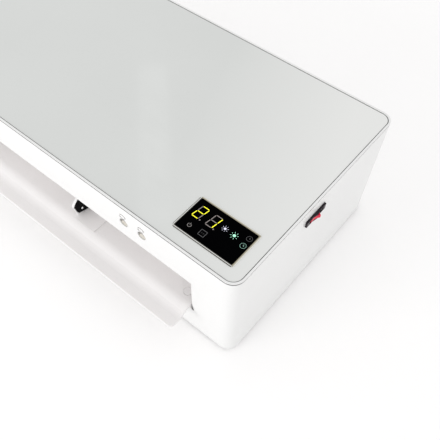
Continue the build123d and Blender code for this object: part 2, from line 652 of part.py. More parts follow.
def rollers():
    pairs = (("hot_roller_lower", HOT_Y, HOT_LOW_Z, HOT_R), ("hot_roller_upper", HOT_Y, HOT_HIGH_Z, HOT_R),
             ("pull_roller_lower", PULL_Y, PULL_LOW_Z, PULL_R),
             ("pull_roller_upper", PULL_Y, PULL_HIGH_Z, PULL_R))
    for name, y, z, radius in pairs:
        core = rod_x(-SLEEVE_L / 2 - 2, SLEEVE_L / 2 + 2, y, z, radius - SLEEVE_WALL)
        journal_end = GEAR_X + GEAR_W + 1
        journal = rod_x(-SIDE_X - 4, journal_end, y, z, JOURNAL_R)
        write(name + "_core", core + journal)
        sleeve = rod_x(-SLEEVE_L / 2, SLEEVE_L / 2, y, z, radius)
        sleeve -= rod_x(-SLEEVE_L, SLEEVE_L, y, z, radius - SLEEVE_WALL)
        write(name + "_sleeve", sleeve)


def tie_bars():
    bars = []
    inner = SIDE_X - SIDE_T / 2
    for y, z in ((FRAME_FRONT_Y + 8, 20.0), (FRAME_BACK_Y - 7, 20.0), (130.0, FRAME_TOP_Z - 7)):
        bar = rod_x(-inner, inner, y, z, 4)
        bars.append(bar)
    write("tie_bars", *bars)


def heating_shoes():
    """Aluminium shoes that wrap the outer half of each hot roller and heat it."""
    reach = SIDE_X - SIDE_T / 2 - 6
    inner_r = HOT_R + SHOE_GAP
    for name, z, way in (("heating_shoe_lower", HOT_LOW_Z, -1), ("heating_shoe_upper", HOT_HIGH_Z, 1)):
        shoe = rod_x(-reach, reach, HOT_Y, z, inner_r + SHOE_T)
        shoe -= rod_x(-reach - 1, reach + 1, HOT_Y, z, inner_r)
        z0, z1 = sorted((z + way * 3, z - way * 30))
        shoe -= block((-reach - 1, HOT_Y - 40, z0), (reach + 1, HOT_Y + 40, z1))
        z0, z1 = sorted((z + way * (inner_r + 1), z + way * (inner_r + SHOE_T + 3)))
        shoe += block((-reach, HOT_Y - 9, z0), (reach, HOT_Y + 9, z1))
        shoe -= rod_x(-reach - 1, reach + 1, HOT_Y, z, inner_r)
        # lugs that reach the side plates on both sides of the pressure springs
        for side in (-1, 1):
            x0, x1 = sorted((side * (reach - 1), side * (SIDE_X - SIDE_T / 2)))
            for y0 in (HOT_Y - 9, HOT_Y + 4.5):
                shoe += block((x0, y0, z0 + 0.5), (x1, y0 + 4.5, z1))
        write(name, shoe)


def sheet_guides():
    """Steel plates that lead the pouch from the mouth to the rollers and out to the back."""
    inner = SIDE_X - SIDE_T / 2
    sill = PASS_Z - SLOT_BELOW
    top = PASS_Z + SLOT_ABOVE - 0.6
    low_end = HOT_Y - 15.5
    plate = along_x([(THROAT_END_Y + 0.5, sill), (low_end, sill), (low_end, sill - GUIDE_PLATE_T),
                     (THROAT_END_Y + 0.5, sill - GUIDE_PLATE_T)], -inner, inner)
    write("infeed_guide_lower", plate)
    near = PASS_Z + 3.0
    plate = along_x([(THROAT_END_Y + 0.5, top), (low_end, near), (low_end, near + GUIDE_PLATE_T),
                     (THROAT_END_Y + 0.5, top + GUIDE_PLATE_T)], -inner, inner)
    write("infeed_guide_upper", plate)
    start = PULL_Y + 11
    for name, way in (("exit_guide_lower", -1), ("exit_guide_upper", 1)):
        near, far = PASS_Z + way * 2.6, PASS_Z + way * 4.0
        end_y = REAR_Y - WALL - 0.4
        outline = [(start, near), (end_y, far), (end_y, far + way * GUIDE_PLATE_T),
                   (start, near + way * GUIDE_PLATE_T)]
        guide = along_x(outline, -SLOT_W / 2 - 4, SLOT_W / 2 + 4)
        for side in (-1, 1):
            x0, x1 = sorted((side * (SLOT_W / 2 + 3), side * inner))
            z0, z1 = sorted((near + way * 0.6, near + way * (GUIDE_PLATE_T + 3)))
            guide += block((x0, start + 1, z0), (x1, FRAME_BACK_Y - 1, z1))
        write(name, guide)


def gear_train():
    turned = {}
    turned["hot_low"] = 0.0
    turned["hot_high"] = meshing(HOT_TEETH, 0.0, HOT_TEETH, 90)
    idler_gap = HOT_R + IDLER_TEETH / 2
    idler_y = HOT_Y + idler_gap * (PULL_Y - HOT_Y) / (idler_gap + IDLER_TEETH / 2 + PULL_R)
    rise = math.sqrt((IDLER_TEETH / 2 + PULL_R + GEAR_BACKLASH) ** 2 - (PULL_Y - idler_y) ** 2)
    idler_z = PULL_LOW_Z - rise
    angle = math.degrees(math.atan2(idler_z - HOT_LOW_Z, idler_y - HOT_Y))
    turned["idler"] = meshing(HOT_TEETH, turned["hot_low"], IDLER_TEETH, angle)
    angle = math.degrees(math.atan2(PULL_LOW_Z - idler_z, PULL_Y - idler_y))
    turned["pull_low"] = meshing(IDLER_TEETH, turned["idler"], PULL_TEETH, angle)
    turned["pull_high"] = meshing(PULL_TEETH, turned["pull_low"], PULL_TEETH, 90)
    turned["motor"] = meshing(IDLER_TEETH, turned["idler"], MOTOR_TEETH, 90)
    motor_z = idler_z + (IDLER_TEETH + MOTOR_TEETH) / 2 + MOTOR_BACKLASH
    on_shaft = (("gear_hot_lower", HOT_TEETH, "hot_low", HOT_Y, HOT_LOW_Z),
                ("gear_hot_upper", HOT_TEETH, "hot_high", HOT_Y, HOT_HIGH_Z),
                ("gear_pull_lower", PULL_TEETH, "pull_low", PULL_Y, PULL_LOW_Z),
                ("gear_pull_upper", PULL_TEETH, "pull_high", PULL_Y, PULL_HIGH_Z))
    for name, teeth, key, y, z in on_shaft:
        write(name, gear_x(teeth, turned[key], GEAR_X, y, z, JOURNAL_R))
    pin_r = 3.0
    write("gear_idler", gear_x(IDLER_TEETH, turned["idler"], GEAR_X, idler_y, idler_z, pin_r + RUN_FIT))
    pin = rod_x(SIDE_X + SIDE_T / 2, GEAR_X + GEAR_W + 0.4, idler_y, idler_z, pin_r)
    pin += rod_x(GEAR_X + GEAR_W + 0.4, GEAR_X + GEAR_W + 1.6, idler_y, idler_z, pin_r + 2)
    write("idler_pin", pin)
    bore = 2.0
    pinion = gear_x(MOTOR_TEETH, turned["motor"], GEAR_X, idler_y, motor_z, bore)
    pinion += rod_x(GEAR_X, MOTOR_PLATE_X + 1.4, idler_y, motor_z, bore)
    write("motor_pinion", pinion)
    # motor, carried outside the gears by a plate on four posts
    plate = block((MOTOR_PLATE_X, idler_y - MOTOR_R, PAN_TOP + 3),
                  (MOTOR_PLATE_X + 1.5, idler_y + MOTOR_R, motor_z + MOTOR_R))
    plate -= rod_x(MOTOR_PLATE_X - 1, MOTOR_PLATE_X + 3, idler_y, motor_z, 5)
    for y in (idler_y - 15, idler_y + 15):
        for z in (PAN_TOP + 7, motor_z + 24):
            plate += rod_x(SIDE_X + SIDE_T / 2, MOTOR_PLATE_X + 0.1, y, z, 2.4)
    write("motor_bracket", plate)
    motor = rod_x(MOTOR_PLATE_X + 1.5, MOTOR_PLATE_X + 1.5 + MOTOR_L, idler_y, motor_z, MOTOR_R)
    motor = fillet(motor.edges().group_by(Axis.X)[-1], 2)
    motor -= rod_x(MOTOR_PLATE_X, MOTOR_PLATE_X + 2, idler_y, motor_z, 5)
    write("gear_motor", motor)


def electrics():
    low = (-HALF_W + 14, 60.0, PAN_TOP + 8)
    high = (-SIDE_X - 12, 190.0, PAN_TOP + 8 + BOARD_T)
    board = block(low, high)
    for x in (low[0] + 5, high[0] - 5):
        for y in (low[1] + 5, high[1] - 5):
            board += rod_z(PAN_TOP, low[2] + 0.1, x, y, 2.5)
    write("main_board", board)
    z = high[2]
    pieces = [block((low[0] + 8, 132, z), (low[0] + 48, 168, z + 34)),
              block((low[0] + 6, 74, z), (low[0] + 26, 90, z + 16)),
              block((high[0] - 22, 74, z), (high[0] - 8, 104, z + 20)),
              rod_z(z, z + 22, low[0] + 14, 110, 6),
              rod_z(z, z + 16, low[0] + 30, 116, 5)]
    write("board_parts", *pieces)
    half_w, half_h = INLET_W / 2, INLET_H / 2
    back = REAR_Y - WALL
    inlet = block((INLET_X - half_w - 8, back - 3, INLET_Z - half_h - 2),
                  (INLET_X + half_w + 8, back, INLET_Z + half_h + 2))
    inlet += block((INLET_X - half_w, back - INLET_DEPTH - 2, INLET_Z - half_h),
                   (INLET_X + half_w, back, INLET_Z + half_h))
    cavity = (half_w - INLET_WALL, half_h - INLET_WALL)
    inlet -= block((INLET_X - cavity[0], back - INLET_DEPTH, INLET_Z - cavity[1]),
                   (INLET_X + cavity[0], back + 1, INLET_Z + cavity[1]))
    write("power_inlet", inlet)
    pins = []
    for x, z in ((-7.0, -1.5), (7.0, -1.5), (0.0, 2.5)):
        pins.append(block((INLET_X + x - 1, back - INLET_DEPTH - 8, INLET_Z + z - 2),
                          (INLET_X + x + 1, back - INLET_DEPTH - 2, INLET_Z + z + 2)))
        pins[-1] += block((INLET_X + x - 1, back - INLET_DEPTH, INLET_Z + z - 2),
                          (INLET_X + x + 1, back - 5, INLET_Z + z + 2))
    write("inlet_pins", *pins)
    shoe_top = HOT_HIGH_Z + HOT_R + SHOE_GAP + SHOE_T + 3
    sensor = block((-30, HOT_Y - 8, shoe_top), (-2, HOT_Y + 8, shoe_top + 5))
    fuse = rod_x(12, 36, HOT_Y, shoe_top + 3, 3)
    write("heat_sensors", sensor, fuse)


casing()
top_frame()
top_glass_and_display()
buttons()
power_switch()
base()
mouth_liner()
tray()
guides()
side_plates()
bearings()
rollers()
tie_bars()
heating_shoes()
sheet_guides()
gear_train()
electrics()
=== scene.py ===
import json
import math

import bpy
import numpy as np
from mathutils import Matrix, Vector


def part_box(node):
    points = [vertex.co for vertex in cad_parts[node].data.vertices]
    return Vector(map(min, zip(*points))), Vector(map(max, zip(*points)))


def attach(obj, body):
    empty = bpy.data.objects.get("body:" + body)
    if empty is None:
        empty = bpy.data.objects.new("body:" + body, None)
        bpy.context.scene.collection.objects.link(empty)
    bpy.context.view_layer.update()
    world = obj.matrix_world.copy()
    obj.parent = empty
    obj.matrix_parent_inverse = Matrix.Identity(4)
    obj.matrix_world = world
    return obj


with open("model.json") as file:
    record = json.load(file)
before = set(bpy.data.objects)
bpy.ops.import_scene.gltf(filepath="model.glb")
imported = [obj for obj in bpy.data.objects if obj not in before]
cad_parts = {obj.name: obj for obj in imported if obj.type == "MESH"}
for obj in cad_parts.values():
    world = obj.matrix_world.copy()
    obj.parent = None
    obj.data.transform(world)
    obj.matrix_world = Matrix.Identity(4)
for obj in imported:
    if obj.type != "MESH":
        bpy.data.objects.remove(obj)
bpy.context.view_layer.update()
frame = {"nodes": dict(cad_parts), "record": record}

bl_info = {
    "name": "Pouch laminator looks",
    "version": (1, 0, 0),
    "blender": (4, 5, 0),
    "location": "View3D > Sidebar > Laminator",
    "description": "Finishes, printed marks, display and stage for the pouch laminator",
    "category": "Object",
}

MM = 0.001
PRINT_T = 0.05 * MM


# ------------------------------------------------------------------ settings
def colour_setting(name, description, default):
    return bpy.props.FloatVectorProperty(
        name=name, description=description, default=default, size=3, subtype="COLOR", min=0, max=1)


def length_setting(name, description, default):
    return bpy.props.FloatProperty(
        name=name, description=description, default=default, min=0,
        subtype="DISTANCE", unit="LENGTH")


def number_setting(name, description, default):
    return bpy.props.FloatProperty(name=name, description=description, default=default)


class LaminatorFinishes(bpy.types.PropertyGroup):
    """Colours of the finishes."""

    shell: colour_setting("Shell", "White moulded body", (0.86, 0.86, 0.855))
    tray: colour_setting("Tray", "Infeed tray", (0.87, 0.85, 0.845))
    glass: colour_setting("Top panel", "Grey-green top panel", (0.69, 0.705, 0.69))
    # painted reflection: the panel's right and back end are drawn paler
    glass_painted_reflection: colour_setting(
        "Top panel, pale end", "Tint of the panel's right and back end", (0.82, 0.825, 0.81))
    seam: colour_setting("Seam", "Painted shadow in the seams of the shell", (0.10, 0.10, 0.097))
    bezel: colour_setting("Display bezel", "Thin metal frame of the display", (0.50, 0.465, 0.37))
    # painted shade for the dark bands along the bezel's edges
    bezel_edge: colour_setting(
        "Bezel edge", "Shaded edges of the display's metal frame", (0.09, 0.085, 0.075))
    rocker: colour_setting("Rocker", "Translucent rocker", (0.80, 0.008, 0.055))
    silicone: colour_setting("Silicone", "Roller sleeves", (0.55, 0.16, 0.08))


class LaminatorDisplay(bpy.types.PropertyGroup):
    """Sizes and colours of what lights up in the display."""

    digit_height: length_setting("Digit height", "Height of a digit", 13.6 * MM)
    digit_width: length_setting("Digit width", "Width of a digit", 7.3 * MM)
    digit_step: length_setting("Digit step", "From one digit to the next", 15.4 * MM)
    stroke: length_setting("Stroke", "Width of a segment", 0.78 * MM)
    lean: number_setting("Lean", "Sideways shift of a digit per height", 0.16)
    lit: colour_setting("Lit segment", "Colour of a lit segment", (0.95, 0.93, 0.02))
    unlit: colour_setting("Unlit segment", "Colour of an unlit segment", (0.30, 0.26, 0.25))
    mint: colour_setting("Heat lamp", "Colour of a lit pictogram", (0.42, 0.95, 0.66))
    soft: colour_setting("Ready lamp", "Colour of a dimmed pictogram", (0.28, 0.52, 0.42))
    pale: colour_setting("Cold lamp", "Colour of a pale pictogram", (0.72, 0.72, 0.86))


class LaminatorStage(bpy.types.PropertyGroup):
    """Camera and light."""

    lens: number_setting("Lens", "Focal length in millimetres on a 36 mm sensor", 44.2)
    shift_x: number_setting("Shift X", "Sideways shift of the picture", 0.0244)
    shift_y: number_setting("Shift Y", "Upward shift of the picture", 0.1166)
    azimuth: number_setting("Azimuth", "Degrees round the machine from the front", 39.6)
    elevation: number_setting("Elevation", "Degrees above the table", 59.4)
    roll: number_setting("Roll", "Degrees of tilt", 0.49)
    aside: number_setting("Aside", "Camera to the right of the top corner, in body depths", 0.4579)
    before: number_setting("Before", "Camera in front of the top corner, in body depths", 0.6861)
    above: number_setting("Above", "Camera above the top corner, in body depths", 1.5045)
    sky: number_setting("Sky", "Strength of the even light all round", 0.90)
    key: number_setting("Key", "Power of the large front lamp in watts", 11.0)
    strip: number_setting("Strip", "Power of the narrow overhead strip in watts", 0.32)


# ------------------------------------------------------------------ shader groups
def add_node(tree, kind, **values):
    """New node; its sockets are set by name, with _ for a space."""
    made = tree.nodes.new(kind)
    for name, value in values.items():
        if hasattr(made, name):
            setattr(made, name, value)
        else:
            made.inputs[name.replace("_", " ")].default_value = value
    return made


def new_group(name, inputs, outputs):
    """Empty shader group with named sockets: {name: (type, default)}."""
    group = bpy.data.node_groups.new(name, "ShaderNodeTree")
    for socket, (kind, default) in inputs.items():
        made = group.interface.new_socket(socket, in_out="INPUT", socket_type="NodeSocket" + kind)
        made.default_value = default
    for socket, kind in outputs.items():
        group.interface.new_socket(socket, in_out="OUTPUT", socket_type="NodeSocket" + kind)
    return group, group.nodes.new("NodeGroupInput"), group.nodes.new("NodeGroupOutput")


def noise_at(tree, place, scale_socket=None, scale=10.0, detail=3.0, stretch=None):
    """Noise on a place, whose output runs from 0 to 1."""
    noise = add_node(tree, "ShaderNodeTexNoise", Scale=scale, Detail=detail)
    if stretch is not None:
        mapping = add_node(tree, "ShaderNodeMapping", Scale=stretch)
        tree.links.new(place, mapping.inputs["Vector"])
        place = mapping.outputs["Vector"]
    tree.links.new(place, noise.inputs["Vector"])
    if scale_socket is not None:
        tree.links.new(scale_socket, noise.inputs["Scale"])
    return noise.outputs["Fac"]


def mix_colours(tree, share, first, second):
    """Mix two colours; each argument is a socket or a value."""
    mix = tree.nodes.new("ShaderNodeMix")
    mix.data_type = "RGBA"
    for socket, value in ((mix.inputs[0], share), (mix.inputs[6], first), (mix.inputs[7], second)):
        if isinstance(value, bpy.types.NodeSocket):
            tree.links.new(value, socket)
        else:
            socket.default_value = value
    return mix.outputs[2]


def remap(tree, value, low, high, low_out, high_out):
    """Linear remap of a value, clamped; each bound is a number or a socket."""
    ramp = tree.nodes.new("ShaderNodeMapRange")
    tree.links.new(value, ramp.inputs["Value"])
    bounds = zip(("From Min", "From Max", "To Min", "To Max"), (low, high, low_out, high_out))
    for name, bound in bounds:
        if isinstance(bound, bpy.types.NodeSocket):
            tree.links.new(bound, ramp.inputs[name])
        else:
            ramp.inputs[name].default_value = bound
    return ramp.outputs["Result"]


def arithmetic(tree, operation, first, second):
    """Math node on two values, each a socket or a number."""
    node = add_node(tree, "ShaderNodeMath", operation=operation)
    for index, value in enumerate((first, second)):
        if isinstance(value, bpy.types.NodeSocket):
            tree.links.new(value, node.inputs[index])
        else:
            node.inputs[index].default_value = value
    return node.outputs["Value"]


def moulded_grain_group():
    """Moulded plastic: spark-eroded grain, faint mottling of the colour and uneven shine."""
    group, given, out = new_group(
        "moulded grain",
        {"Colour": ("Color", (0.8, 0.8, 0.8, 1)), "Grain Scale": ("Float", 1800.0),
         "Mottle": ("Float", 0.03), "Shine Low": ("Float", 0.35), "Shine High": ("Float", 0.45)},
        {"Colour": "Color", "Roughness": "Float", "Height": "Float"})
    place = add_node(group, "ShaderNodeTexCoord").outputs["Object"]
    grain = noise_at(group, place, given.outputs["Grain Scale"], detail=2.0)
    cloud = noise_at(group, place, scale=9.0, detail=4.0)
    speck = noise_at(group, place, scale=420.0, detail=1.0)
    dark = mix_colours(group, 0.5, given.outputs["Colour"], (0.0, 0.0, 0.0, 1))
    blotch = remap(group, cloud, 0.35, 0.7, 0.0, 1.0)
    share = arithmetic(group, "MULTIPLY", blotch, given.outputs["Mottle"])
    tinted = mix_colours(group, share, given.outputs["Colour"], dark)
    speckle = remap(group, speck, 0.62, 0.75, 0.0, 1.0)
    fleck = arithmetic(group, "MULTIPLY", speckle, given.outputs["Mottle"])
    flecked = mix_colours(group, fleck, tinted, dark)
    shine = remap(group, cloud, 0.3, 0.7, given.outputs["Shine Low"], given.outputs["Shine High"])
    group.links.new(flecked, out.inputs["Colour"])
    group.links.new(shine, out.inputs["Roughness"])
    group.links.new(grain, out.inputs["Height"])
    return group


def handling_group():
    """Handling: rubbed smears and fine scratches that dull a glossy face."""
    group, given, out = new_group(
        "handling marks",
        {"Clean": ("Float", 0.08), "Rubbed": ("Float", 0.22), "Scratch Scale": ("Float", 30.0)},
        {"Roughness": "Float", "Scratches": "Float"})
    place = add_node(group, "ShaderNodeTexCoord").outputs["Object"]
    smear = noise_at(group, place, scale=7.0, detail=5.0, stretch=(1.0, 2.6, 1.0))
    fine = noise_at(group, place, scale=60.0, detail=6.0, stretch=(0.4, 1.6, 1.0))
    both = arithmetic(group, "MULTIPLY", smear, fine)
    rough = remap(group, both, 0.18, 0.42, given.outputs["Clean"], given.outputs["Rubbed"])
    lines = noise_at(
        group, place, given.outputs["Scratch Scale"], detail=2.0, stretch=(1.0, 60.0, 1.0))
    group.links.new(rough, out.inputs["Roughness"])
    group.links.new(remap(group, lines, 0.66, 0.72, 0.0, 1.0), out.inputs["Scratches"])
    return group


def brushed_group():
    """Brushed or rolled metal: noise drawn out along one axis gives colour, shine and height."""
    group, given, out = new_group(
        "brushed metal",
        {"Colour": ("Color", (0.6, 0.6, 0.6, 1)), "Draw": ("Vector", (1.0, 40.0, 40.0)),
         "Shine Low": ("Float", 0.25), "Shine High": ("Float", 0.45), "Stain": ("Float", 0.15)},
        {"Colour": "Color", "Roughness": "Float", "Height": "Float"})
    place = add_node(group, "ShaderNodeTexCoord").outputs["Object"]
    mapping = group.nodes.new("ShaderNodeMapping")
    group.links.new(place, mapping.inputs["Vector"])
    group.links.new(given.outputs["Draw"], mapping.inputs["Scale"])
    lines = noise_at(group, mapping.outputs["Vector"], scale=40.0, detail=5.0)
    cloud = noise_at(group, place, scale=24.0, detail=4.0)
    dark = mix_colours(group, 0.45, given.outputs["Colour"], (0.0, 0.0, 0.0, 1))
    blotch = remap(group, cloud, 0.4, 0.75, 0.0, 1.0)
    share = arithmetic(group, "MULTIPLY", blotch, given.outputs["Stain"])
    stained = mix_colours(group, share, given.outputs["Colour"], dark)
    streak = arithmetic(group, "MULTIPLY", remap(group, lines, 0.4, 0.7, 0.0, 1.0), 0.25)
    group.links.new(mix_colours(group, streak, stained, dark), out.inputs["Colour"])
    shine = remap(group, lines, 0.3, 0.7, given.outputs["Shine Low"], given.outputs["Shine High"])
    group.links.new(shine, out.inputs["Roughness"])
    group.links.new(lines, out.inputs["Height"])
    return group


def dust_group():
    """Dust that settles on faces that look up, broken up by noise."""
    group, given, out = new_group(
        "settled dust", {"Amount": ("Float", 0.3)}, {"Mask": "Float"})
    place = add_node(group, "ShaderNodeTexCoord").outputs["Object"]
    up = group.nodes.new("ShaderNodeSeparateXYZ")
    group.links.new(add_node(group, "ShaderNodeNewGeometry").outputs["Normal"], up.inputs[0])
    cloud = noise_at(group, place, scale=55.0, detail=6.0)
    broken = remap(group, cloud, 0.35, 0.75, 0.0, 1.0)
    facing = remap(group, up.outputs["Z"], 0.2, 0.9, 0.0, 1.0)
    mask = arithmetic(group, "MULTIPLY", broken, facing)
    amount = arithmetic(group, "MULTIPLY", mask, given.outputs["Amount"])
    group.links.new(amount, out.inputs["Mask"])
    return group


GROUPS = {}


def use_group(tree, name, **values):
    """Place a shared group in a material, with its own values."""
    makers = {"moulded grain": moulded_grain_group, "handling marks": handling_group,
              "brushed metal": brushed_group, "settled dust": dust_group}
    if name not in GROUPS:
        GROUPS[name] = makers[name]()
    node = tree.nodes.new("ShaderNodeGroup")
    node.node_tree = GROUPS[name]
    for socket, value in values.items():
        node.inputs[socket.replace("_", " ")].default_value = value
    return node


# ------------------------------------------------------------------ materials
def new_material(name, colour, **values):
    """Material with one Principled BSDF; values are set on the shader's own sockets."""
    material = bpy.data.materials.new(name)
    material.use_nodes = True
    shader = material.node_tree.nodes["Principled BSDF"]
    shader.inputs["Base Color"].default_value = (*colour, 1)
    for socket, value in values.items():
        shader.inputs[socket.replace("_", " ")].default_value = value
    return material, material.node_tree, shader


def add_bump(tree, shader, height, strength, distance):
    bump = add_node(tree, "ShaderNodeBump", Strength=strength, Distance=distance)
    tree.links.new(height, bump.inputs["Height"])
    tree.links.new(bump.outputs["Normal"], shader.inputs["Normal"])


def moulded_material(
        name, colour, grain=1500.0, mottle=0.03, shine=(0.35, 0.45), depth=0.25, **values):
    """Moulded plastic or rubber."""
    material, tree, shader = new_material(name, colour, **values)
    skin = use_group(tree, "moulded grain", Colour=(*colour, 1), Grain_Scale=grain, Mottle=mottle,
                     Shine_Low=shine[0], Shine_High=shine[1])
    tree.links.new(skin.outputs["Colour"], shader.inputs["Base Color"])
    tree.links.new(skin.outputs["Roughness"], shader.inputs["Roughness"])
    add_bump(tree, shader, skin.outputs["Height"], depth, 0.04 * MM)
    return material


def glossy_material(name, colour, clean, rubbed, scratch=0.1, **values):
    """Polished plastic or glass panel, dulled where it is handled."""
    material, tree, shader = new_material(name, colour, **values)
    marks = use_group(tree, "handling marks", Clean=clean, Rubbed=rubbed)
    tree.links.new(marks.outputs["Roughness"], shader.inputs["Roughness"])
    skin = use_group(tree, "moulded grain", Colour=(*colour, 1), Grain_Scale=90.0, Mottle=0.04)
    tree.links.new(skin.outputs["Colour"], shader.inputs["Base Color"])
    add_bump(tree, shader, marks.outputs["Scratches"], scratch, 0.004 * MM)
    return material


def metal_material(name, colour, draw, shine=(0.25, 0.45), stain=0.15, depth=0.2, dust=0.0):
    """Rolled, brushed or turned metal, with dust where it lies open inside."""
    material, tree, shader = new_material(name, colour, Metallic=1.0)
    skin = use_group(tree, "brushed metal", Colour=(*colour, 1), Draw=draw, Shine_Low=shine[0],
                     Shine_High=shine[1], Stain=stain)
    out_colour = skin.outputs["Colour"]
    if dust > 0:
        film = use_group(tree, "settled dust", Amount=dust)
        out_colour = mix_colours(tree, film.outputs["Mask"], out_colour, (0.45, 0.43, 0.40, 1))
    tree.links.new(out_colour, shader.inputs["Base Color"])
    tree.links.new(skin.outputs["Roughness"], shader.inputs["Roughness"])
    add_bump(tree, shader, skin.outputs["Height"], depth, 0.03 * MM)
    return material


def shade_above(material, heights, colour, fade=None):
    """Blend a material's colour to another one as Object Z runs from the first height to the
    second. The other colour can fade out between two places along Object Y."""
    tree = material.node_tree
    base = tree.nodes["Principled BSDF"].inputs["Base Color"]
    before = base.links[0].from_socket
    place = tree.nodes.new("ShaderNodeSeparateXYZ")
    tree.links.new(add_node(tree, "ShaderNodeTexCoord").outputs["Object"], place.inputs[0])
    share = remap(tree, place.outputs["Z"], *heights, 0.0, 1.0)
    if fade is not None:
        kept = remap(tree, place.outputs["Y"], *fade, 1.0, 0.0)
        share = arithmetic(tree, "MULTIPLY", share, kept)
    tree.links.new(mix_colours(tree, share, before, (*colour, 1)), base)
    return material


def pale_towards(material, way, reach, colour):
    """Blend a material's colour to another one along a direction, over a given reach."""
    tree = material.node_tree
    base = tree.nodes["Principled BSDF"].inputs["Base Color"]
    before = base.links[0].from_socket
    along = add_node(tree, "ShaderNodeVectorMath", operation="DOT_PRODUCT")
    tree.links.new(add_node(tree, "ShaderNodeTexCoord").outputs["Object"], along.inputs[0])
    along.inputs[1].default_value = way
    share = remap(tree, along.outputs["Value"], *reach, 0.0, 1.0)
    tree.links.new(mix_colours(tree, share, before, (*colour, 1)), base)
    return material


def board_material():
    """Circuit board: green solder mask with paler copper lanes under it and round pads."""
    material, tree, shader = new_material("circuit_board", (0.02, 0.14, 0.06), Coat_Weight=0.4)
    place = add_node(tree, "ShaderNodeTexCoord").outputs["Object"]
    lanes = add_node(tree, "ShaderNodeTexBrick", Scale=170.0, Mortar_Size=0.12,
                     Color1=(0.03, 0.22, 0.09, 1), Color2=(0.012, 0.13, 0.05, 1),
                     Mortar=(0.01, 0.09, 0.035, 1))
    tree.links.new(place, lanes.inputs["Vector"])
    pads = add_node(tree, "ShaderNodeTexVoronoi", Scale=260.0)
    tree.links.new(place, pads.inputs["Vector"])
    dots = remap(tree, pads.outputs["Distance"], 0.16, 0.2, 1.0, 0.0)
    tree.links.new(mix_colours(tree, dots, lanes.outputs["Color"], (0.65, 0.62, 0.55, 1)),
                   shader.inputs["Base Color"])
    tree.links.new(remap(tree, dots, 0.0, 1.0, 0.42, 0.25), shader.inputs["Roughness"])
    add_bump(tree, shader, dots, 0.3, 0.05 * MM)
    return material


def glowing_material(name, colour, strength):
    """Even, grainy glow of a lit mark, and of the white dots, which are no lamps: their glow is
    painted light that keeps them bright in the shade.
    """
    material, tree, shader = new_material(name, colour, Roughness=0.35, Emission_Strength=strength)
    skin = use_group(tree, "moulded grain", Colour=(*colour, 1), Grain_Scale=2600.0, Mottle=0.25)
    tree.links.new(skin.outputs["Colour"], shader.inputs["Base Color"])
    tree.links.new(skin.outputs["Colour"], shader.inputs["Emission Color"])
    return material


# painted reflection: the top panel is drawn paler towards the right and the back; the way, and the
# reach along it
REFLECTION_WAY = (0.94, 0.34, 0)
REFLECTION_REACH = (0.141, 0.287)


def white_material(name, finishes):
    """The shell's moulded white."""
    return moulded_material(
        name, finishes.shell, 1400.0, 0.03, (0.30, 0.42), 0.22, Coat_Weight=0.08)


def finish_materials(finishes):
    """One material for each of the record's slots, except those that own_materials fills."""
    return {
        "tray_plastic": moulded_material(
            "tray_plastic", finishes.tray, 1100.0, 0.05, (0.58, 0.70), 0.3,
            Specular_IOR_Level=0.35),
        # the top panel is drawn paler towards the right and back: a painted reflection
        "top_panel": pale_towards(
            glossy_material(
                "top_panel", finishes.glass, 0.10, 0.24, Coat_Weight=0.35, Coat_Roughness=0.06),
            REFLECTION_WAY, REFLECTION_REACH, finishes.glass_painted_reflection),
        "black_plastic": moulded_material(
            "black_plastic", (0.004, 0.004, 0.0045), 1300.0, 0.2, (0.38, 0.55), 0.4,
            Specular_IOR_Level=0.05),
        "window_black": glossy_material(
            "window_black", (0.001, 0.001, 0.0013), 0.10, 0.24, 0.1, IOR=1.02),
        "switch_black": moulded_material(
            "switch_black", (0.012, 0.006, 0.011), 1500.0, 0.2, (0.3, 0.45), 0.3,
            Specular_IOR_Level=0.25),
        "rocker_red": moulded_material(
            "rocker_red", finishes.rocker, 900.0, 0.1, (0.3, 0.4), 0.05,
            Specular_IOR_Level=0.25),
        "sheet_steel": metal_material(
            "sheet_steel", (0.60, 0.61, 0.62), (1.0, 24.0, 24.0), (0.3, 0.5), 0.3, 0.2, 0.35),
        "turned_steel": metal_material(
            "turned_steel", (0.66, 0.66, 0.67), (60.0, 4.0, 4.0), (0.18, 0.32), 0.1),
        "silicone": moulded_material(
            "silicone", finishes.silicone, 700.0, 0.12, (0.6, 0.75), 0.5),
        "aluminium": metal_material(
            "aluminium", (0.70, 0.71, 0.72), (1.0, 50.0, 50.0), (0.28, 0.42), 0.2, 0.25),
        "gear_plastic": moulded_material(
            "gear_plastic", (0.74, 0.70, 0.58), 900.0, 0.1, (0.32, 0.45), 0.15),
        "circuit_board": board_material(),
        "board_parts": moulded_material(
            "board_parts", (0.03, 0.03, 0.035), 800.0, 0.3, (0.4, 0.6), 0.3),
        "rubber": moulded_material("rubber", (0.02, 0.02, 0.02), 600.0, 0.3, (0.7, 0.85), 0.6),
    }


# painted shadow lines in the seams: heights from the top of the panel and of the casing, and the
# run from the front wall over which the casing's painted shadow fades out
PANEL_SEAM = (-0.20 * MM, -0.26 * MM)
CASING_SEAM = (-0.32 * MM, -0.24 * MM)
CASING_SEAM_FADE = (5 * MM, 14 * MM)
# heights from the guide's foot over which the white turns into the tray's tone
GUIDE_FOOT_TONE = (0.5 * MM, 0.1 * MM)


def places_from(base, offsets):
    return [base + offset for offset in offsets]


def own_materials(finishes):
    """Parts whose finish isn't their slot's: white parts with painted seam shadows or a foot in the
    tray's tone, the bezel and the buttons."""
    panel_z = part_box("top_glass")[1].z
    case_low, case_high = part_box("casing")
    foot_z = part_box("guide_right_plate")[0].z
    # rim and casing darken in their seams: painted shadow
    rim = shade_above(white_material("top_frame_white", finishes),
                      places_from(panel_z, PANEL_SEAM), finishes.seam)
    shell = shade_above(white_material("casing_white", finishes),
                        places_from(case_high.z, CASING_SEAM), finishes.seam,
                        places_from(case_low.y, CASING_SEAM_FADE))
    guide = shade_above(white_material("guide_white", finishes),
                        places_from(foot_z, GUIDE_FOOT_TONE), finishes.tray)
    return {"top_frame": rim, "casing": shell, "guide_left": guide, "guide_right": guide,
            "display_bezel": bezel_material(finishes),
            "button_left": button_material("button_left"),
            "button_right": button_material("button_right")}
